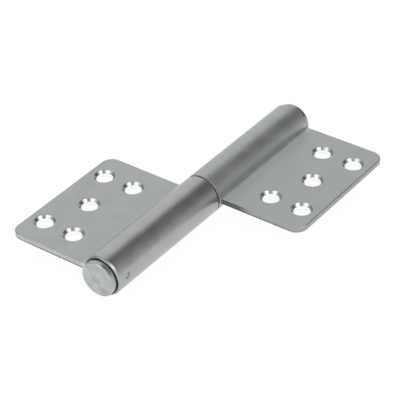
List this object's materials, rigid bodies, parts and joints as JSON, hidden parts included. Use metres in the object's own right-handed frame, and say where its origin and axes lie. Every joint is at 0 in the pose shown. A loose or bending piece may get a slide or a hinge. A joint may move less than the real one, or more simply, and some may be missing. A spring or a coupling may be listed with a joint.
{
  "type": "flag hinge",
  "caption": "Lift-off flag hinge: rolled sheet leaves with countersunk screw holes, end to end on a headed pin, so that the socket half turns freely and lifts straight off.",
  "frame": {"origin": "on the barrel's axis, at the middle of its length, in the seam between the two knuckles", "axes": "+Y along the barrel from the pin half to the socket half, +X from the barrel to the socket half's leaf, +Z out of the countersunk faces of both leaves"},
  "size_m": [0.076, 0.1064, 0.014],
  "materials": {
    "leaf_steel": "stainless sheet, fine satin",
    "pin_steel": "turned stainless, satin",
    "lock_steel": "plain stainless dowel",
    "ring_steel": "plain stainless washer"
  },
  "bodies": {
    "pin_half": {"lower_leaf": "leaf_steel", "hinge_pin": "pin_steel", "lower_lock_pin": "lock_steel"},
    "seam_ring": {"bearing_ring": "ring_steel"},
    "socket_half": {"upper_leaf": "leaf_steel", "end_plug": "pin_steel", "upper_lock_pin": "lock_steel"}
  },
  "joints": [
    {"name": "swing", "type": "hinge", "parent": "pin_half", "child": "seam_ring", "pos_m": [0, 0, 0], "axis": [0, 1, 0], "continuous": true},
    {"name": "lift_off", "type": "slide", "parent": "seam_ring", "child": "socket_half", "axis": [0, 1, 0], "range_m": [0, 0.04]}
  ]
}
